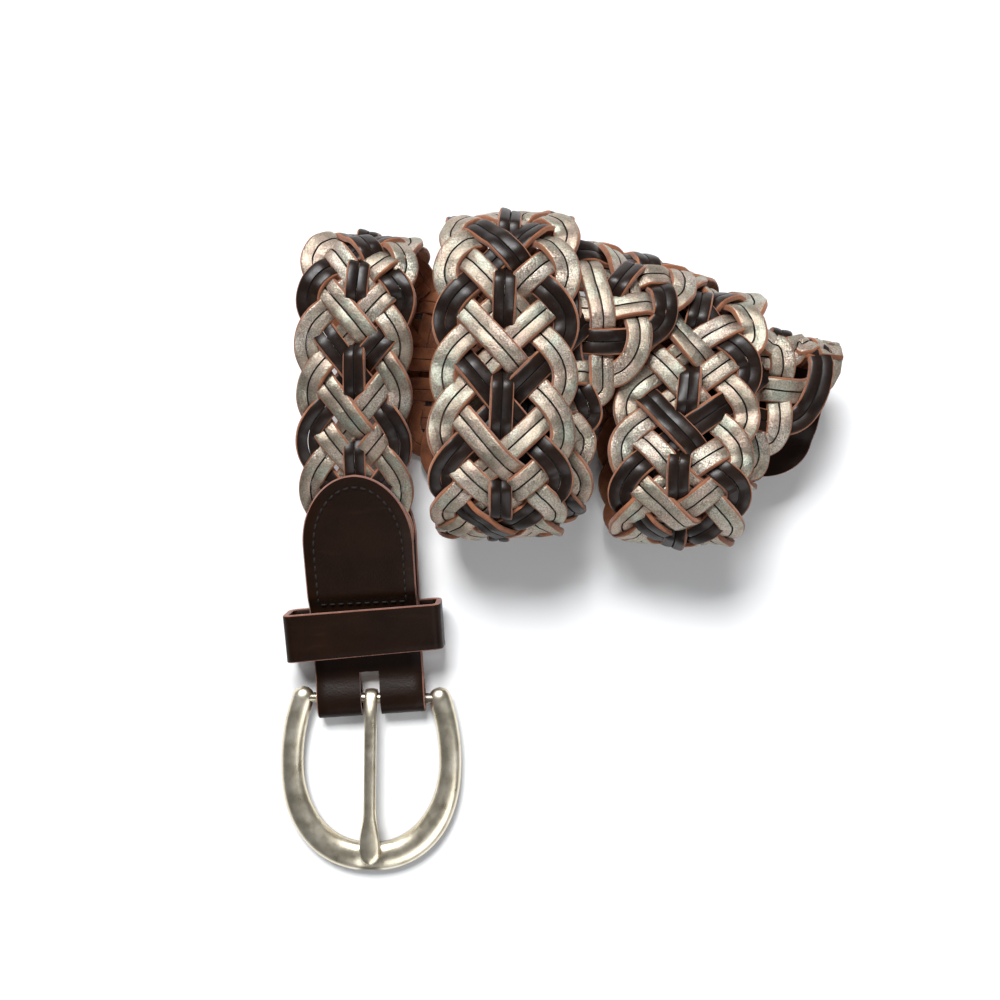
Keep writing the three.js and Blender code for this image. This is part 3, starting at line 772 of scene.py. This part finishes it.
def make_keeper(materials):
    low = -(CLOSE_GAP + LEATHER / 2 + CLEARANCE)
    high = CLOSE_GAP + LEATHER / 2 + KEEPER["room"]
    wall = KEEPER["leather"]
    half_wall = wall / 2
    centre_line = rounded_outline(KEEPER["width"] / 2 - half_wall, low - half_wall, high + half_wall,
                                  KEEPER["corner"] - half_wall, 10)
    step = unit(np.roll(centre_line, -1, axis=0) - np.roll(centre_line, 1, axis=0))
    outward = np.stack([step[:, 1], -step[:, 0]], -1)
    section, parts = sheet_section(KEEPER["along"] / 2, wall, 0.3, 8)
    tan_skew, tan_lean = (math.tan(math.radians(KEEPER[name])) for name in ("skew", "lean"))
    points = []
    for (across, out), (o_across, o_out) in zip(centre_line, outward):
        side = across + section[:, 1] * o_across
        height = out + section[:, 1] * o_out
        skewed = side * tan_skew + height * tan_lean
        points.append(route.at(KEEPER["centre"] - section[:, 0] + skewed, side, height))
    rings, count = len(points), len(section)
    faces = ring_faces(rings, count, closed=True)
    kinds = np.tile([1 if part == 1 else 0 for part in parts], rings)
    keeper = build_mesh("keeper_loop_leather", np.vstack(points), faces.tolist(),
                        [materials["strap"], materials["cut"]], kinds, sharp=50)
    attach(keeper, "belt")
    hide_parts("keeper_loop")


def make_tip_layer(name, node, side, materials):
    start = route.length - TIP["length"]
    distance = start + TIP["length"] * np.sin(np.linspace(0, math.pi / 2, 40))
    points, parts = [], None
    for d in distance:
        out = side * float(lerp(OPEN_GAP, CLOSE_GAP, smooth(d, BRAID_END + 1, BRAID_END + 7)))
        half = max(float(arched_half(route.length - d, STRAP["width"], TIP["arch"])), 0.8)
        section, parts = sheet_section(half, LEATHER)
        points.append(route.at(d, section[:, 0], out + section[:, 1]))
    rings, count = len(points), len(parts)
    kinds = np.tile([1 if part == 1 else 0 for part in parts], rings - 1)
    layer = build_mesh(name, np.vstack(points), turned_tube_faces(rings, count),
                       [materials["strap"], materials["cut"]], np.concatenate([kinds, [1, 1]]), sharp=50)
    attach(layer, "belt")
    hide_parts(node)


# Stitches

STITCH = {"inset": 3.6, "pitch": 2.9, "length": 2.3, "thread": 0.8, "row_from": 34.2}


def stitch_places():
    """(along, across) of points along the strap's stitch line, evenly spaced, as a closed loop."""
    half = STRAP["width"] / 2 - STITCH["inset"]
    top = STRAP["length"] - STITCH["inset"]
    arch = STRAP["arch"] - STITCH["inset"] * 0.6
    shoulder = top - arch
    angle = np.linspace(0, math.pi, 60)
    arc = np.stack([shoulder + arch * np.sin(angle), half * np.cos(angle)], -1)
    corners = np.array([[STITCH["row_from"], half]])
    ends = np.array([[STITCH["row_from"], -half], [STITCH["row_from"], half]])
    line = np.vstack([corners, arc, ends])
    spans = np.concatenate([[0], np.cumsum(np.linalg.norm(np.diff(line, axis=0), axis=1))])
    count = nearest_whole(spans[-1] / STITCH["pitch"])
    middles = (np.arange(count) + 0.5) * spans[-1] / count

    def on_line(distance):
        return np.stack([np.interp(distance, spans, line[:, k]) for k in range(2)], -1)

    return on_line(middles - STITCH["length"] / 2), on_line(middles + STITCH["length"] / 2)


def make_stitches(materials):
    starts, ends = stitch_places()
    sides, rings = 8, 9
    points, faces = [], []
    for face in (1, -1):
        for start, end in zip(starts, ends):
            offset = len(points) * sides
            for t in np.linspace(0, 1, rings):
                along, across = lerp(start, end, t)
                lift = math.sin(math.pi * t)
                out = face * (layer_gap(along) + LEATHER / 2 - 0.22 + 0.38 * lift)
                radius = STITCH["thread"] / 2 * math.sqrt(max(0.08, 1 - (2 * t - 1) ** 6))
                _, a_along, a_across, a_grain = (v[0] for v in route.axes(np.array([along])))
                heading = unit(a_along * (end[0] - start[0]) + a_across * (end[1] - start[1]))
                sideways = np.cross(a_grain, heading)
                angle = np.linspace(0, 2 * math.pi, sides, endpoint=False)
                middle = route.at(along, across, out)
                circle = np.cos(angle)[:, None] * sideways + np.sin(angle)[:, None] * a_grain
                points.append(middle + radius * circle)
            faces += (ring_faces(rings, sides) + offset).tolist()
            faces.append([offset + j for j in range(sides)][::-1])
            faces.append([offset + (rings - 1) * sides + j for j in range(sides)])
    stitches = build_mesh("strap_stitches", np.vstack(points), faces, materials["thread"])
    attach(stitches, "belt")


# Buckle

def buckle_matrix():
    """The buckle's own axes: x along the bar, y to the frame's far end, z out of its face."""
    end = FRAME["shoulder"] + FRAME["drop"]
    yaw = math.radians(180 + FRAME["yaw"])
    pitch = -math.asin((BAR["z"] - FRAME["end_high"] / 2 - 0.1) / end)
    turn = Matrix.Rotation(yaw, 3, "Z") @ Matrix.Rotation(pitch, 3, "X")
    origin = np.array([BAR["x"], BAR["y"], BAR["z"]]) + route.origin
    return np.array(turn), origin


def on_buckle(points):
    turn, origin = buckle_matrix()
    return np.asarray(points) @ turn.T + origin


def frame_half(t):
    """Centre line of one half of the frame from its leg's top (t = 0) to the far end (t = 1)."""
    leg = 0.4
    y = FRAME["shoulder"] * np.minimum(t / leg, 1)
    narrowing = ((FRAME["shoulder"] - y) / FRAME["shoulder"]) ** 2
    angle = (1 - np.clip((t - leg) / (1 - leg), 0, 1)) * math.pi / 2
    power = 2 / FRAME["roundness"]
    x = np.where(t < leg, lerp(FRAME["half_width"], FRAME["leg_top"], narrowing),
                 FRAME["half_width"] * np.abs(np.sin(angle)) ** power)
    y = np.where(t < leg, y, FRAME["shoulder"] + FRAME["drop"] * np.abs(np.cos(angle)) ** power)
    return x, y


def make_frame(materials):
    t = np.linspace(0, 1, 90)
    x, y = frame_half(t)
    knob = FRAME["leg_wide"] / 2
    top_y = np.linspace(-knob, 0, 10)[:-1]
    top_x = np.full_like(top_y, FRAME["leg_top"])
    right = np.stack([np.concatenate([top_x, x]), np.concatenate([top_y, y])], -1)
    line = np.vstack([right, right[-2::-1] * (-1, 1)])
    spans = np.concatenate([[0], np.cumsum(np.linalg.norm(np.diff(line, axis=0), axis=1))])
    even = np.linspace(0, spans[-1], 320)
    line = np.stack([np.interp(even, spans, line[:, k]) for k in range(2)], -1)
    for _ in range(6):
        line[1:-1] = (line[:-2] + 2 * line[1:-1] + line[2:]) / 4
    heading = unit(np.gradient(line, axis=0))
    outward = np.stack([heading[:, 1], -heading[:, 0]], -1)
    to_end = smooth(line[:, 1], FRAME["shoulder"], FRAME["shoulder"] + FRAME["drop"])
    from_top = np.minimum(even, spans[-1] - even)
    dome = np.sqrt(1 - np.clip(1 - from_top / knob, 0, 0.995) ** 2)
    wide = dome * lerp(FRAME["leg_wide"], FRAME["end_wide"], to_end) / 2
    high = dome * lerp(FRAME["leg_high"], FRAME["end_high"], to_end) / 2
    sides = 28
    angle = np.linspace(0, 2 * math.pi, sides, endpoint=False)
    seat = np.exp(-(line[:, 0] / PRONG_SEAT["across"]) ** 4) * to_end
    points, uvs = [], []
    for i in range(len(line)):
        across = np.cos(angle) * wide[i]
        up = np.sin(angle) * high[i]
        dip = PRONG_SEAT["depth"] * seat[i] * np.exp(-((across / PRONG_SEAT["along"]) ** 2))
        up = np.where(up > 0, up - dip * (up / high[i]), up)
        ring = np.stack([line[i, 0] + outward[i, 0] * across, line[i, 1] + outward[i, 1] * across, up], -1)
        points.append(ring)
        # First UV value: painted shade mask for the metal, 0 on the top of the tube and rising on its lower
        # sides; it is raised in the prong's seat too.
        crown = 1 - np.clip(np.sin(angle) + 0.25, 0, 1)
        uvs.append(np.stack([np.clip(crown + 0.8 * seat[i], 0, 1), np.full(sides, even[i] * MM)], -1))
    faces = turned_tube_faces(len(points), sides)
    frame_piece = build_mesh("buckle_frame_casting", on_buckle(np.vstack(points)), faces,
                             materials["metal"], uvs=np.vstack(uvs), sharp=60)
    bar = make_bar(materials)
    for piece in (frame_piece, bar):
        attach(piece, "frame")
        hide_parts("buckle_frame")


def make_bar(materials):
    sides = 24
    angle = np.linspace(0, 2 * math.pi, sides, endpoint=False)
    stations = np.array([-1, -0.94, -0.9, -0.5, 0, 0.5, 0.9, 0.94, 1]) * (FRAME["leg_top"] - 1.0)
    radii = BAR["radius"] * np.array([1.25, 1.2, 1, 1, 1, 1, 1, 1.2, 1.25])
    circle = np.stack([np.zeros(sides), np.cos(angle), np.sin(angle)], -1)
    points = [circle * radius + (x, 0, 0) for x, radius in zip(stations, radii)]
    # The bar is set to the dark end of the metal's painted shade mask all round.
    uvs = np.full((len(points) * sides, 2), 0.8)
    faces = tube_faces(len(points), sides)
    return build_mesh("buckle_bar", on_buckle(np.vstack(points)), faces, materials["metal"], uvs=uvs)


def make_prong(materials):
    inner = BAR["radius"] + CLEARANCE
    outer = inner + PRONG["eye_wall"]
    rest_z = FRAME["end_high"] / 2 + CLEARANCE + PRONG["tip_high"] / 2
    start_z = inner + PRONG["shaft_high"] / 2
    curl = np.linspace(math.radians(-150), math.radians(90), 22)
    eye_radius = (inner + outer) / 2
    eye = eye_radius * np.stack([-np.cos(curl), np.sin(curl)], -1)
    y = np.concatenate([np.linspace(1.5, PRONG["length"] - 5, 60), PRONG["length"] - 5 + 5 * np.sin(
        np.linspace(0.08, math.pi / 2, 16))])
    z = lerp(start_z, rest_z, smooth(y, 4, PRONG["length"] - 1.5 * PRONG["tip_length"]))
    line = np.vstack([eye, np.stack([y, z], -1)])
    for _ in range(3):
        line[1:-1] = (line[:-2] + 2 * line[1:-1] + line[2:]) / 4
    heading = unit(np.gradient(line, axis=0))
    upward = np.stack([-heading[:, 1], heading[:, 0]], -1)
    is_shaft = np.concatenate([np.zeros(len(eye)), np.ones(len(y))])
    tip = PRONG["tip_length"]
    flat = smooth(line[:, 0], PRONG["length"] - 1.7 * tip, PRONG["length"] - 0.55 * tip)
    from_tip = PRONG["length"] - line[:, 0]
    nose = np.sqrt(np.clip(1 - (1 - np.clip(from_tip / 4.2, 0, 1)) ** 2, 0.004, 1))
    wide = lerp(PRONG["shaft"], PRONG["tip_wide"], flat) / 2 * nose
    high = lerp(lerp(PRONG["eye_wall"], PRONG["shaft_high"], smooth(line[:, 0] * is_shaft, 1, 6)),
                PRONG["tip_high"], flat) / 2 * lerp(1, nose, 0.6)
    sides = 24
    angle = np.linspace(0, 2 * math.pi, sides, endpoint=False)
    points, uvs = [], []
    for i in range(len(line)):
        across = np.cos(angle) * wide[i]
        up = np.sin(angle) * high[i]
        points.append(np.stack([across, line[i, 0] + upward[i, 0] * up, line[i, 1] + upward[i, 1] * up], -1))
        # First UV value: painted shade mask, pale along the prong's top and darker on its lower sides.
        uvs.append(np.stack([0.75 * (1 - np.clip(np.sin(angle) + 0.4, 0, 1)), np.full(sides, i * MM)], -1))
    faces = turned_tube_faces(len(points), sides)
    prong = build_mesh("buckle_prong_casting", on_buckle(np.vstack(points)), faces,
                       materials["metal"], uvs=np.vstack(uvs), sharp=60)
    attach(prong, "prong")
    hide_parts("buckle_prong")


# Stage

def make_floor():
    mesh = bpy.data.meshes.new("floor")
    mesh.from_pydata([(-3, -3, 0), (3, -3, 0), (3, 3, 0), (-3, 3, 0)], [], [(0, 1, 2, 3)])
    mesh.materials.append(floor_material())
    floor = bpy.data.objects.new("floor", mesh)
    bpy.context.collection.objects.link(floor)


def make_light(name, place, target, size, power):
    data = bpy.data.lights.new(name, "AREA")
    data.shape = "RECTANGLE"
    data.size, data.size_y = size
    data.energy = power
    data.color = DAYLIGHT
    light = bpy.data.objects.new(name, data)
    light.location = place
    light.rotation_euler = (Vector(target) - Vector(place)).to_track_quat("-Z", "Y").to_euler()
    bpy.context.collection.objects.link(light)


def make_lights():
    world = bpy.data.worlds.new("studio")
    world.use_nodes = True
    background = world.node_tree.nodes["Background"]
    background.inputs["Color"].default_value = SKY["colour"]
    background.inputs["Strength"].default_value = SKY["strength"]
    bpy.context.scene.world = world
    target = (0, 0.02, 0.02)
    make_light("window", (-0.25, 0.8, 1.05), target, (0.6, 0.45), 27)
    make_light("fill", (0.6, -1.2, 1.1), target, (1.6, 1.0), 13)
    bpy.context.scene.view_settings.view_transform = "Standard"
    bpy.context.scene.view_settings.exposure = 0.0


def make_camera():
    data = bpy.data.cameras.new("camera")
    data.sensor_width = CAMERA_SENSOR
    data.lens = CAMERA_LENS
    camera = bpy.data.objects.new("camera", data)
    camera.location = (route.origin[0] * MM, route.origin[1] * MM, (CAMERA_HEIGHT + route.origin[2]) * MM)
    bpy.context.collection.objects.link(camera)
    bpy.context.scene.camera = camera


def main():
    set_origin()
    make_camera()
    make_floor()
    make_lights()
    materials = make_materials()
    make_braid(materials)
    make_strap(materials)
    make_keeper(materials)
    make_tip_layer("tip_front_leather", "tip_front", 1, materials)
    make_tip_layer("tip_back_leather", "tip_back", -1, materials)
    make_stitches(materials)
    make_frame(materials)
    make_prong(materials)


main()
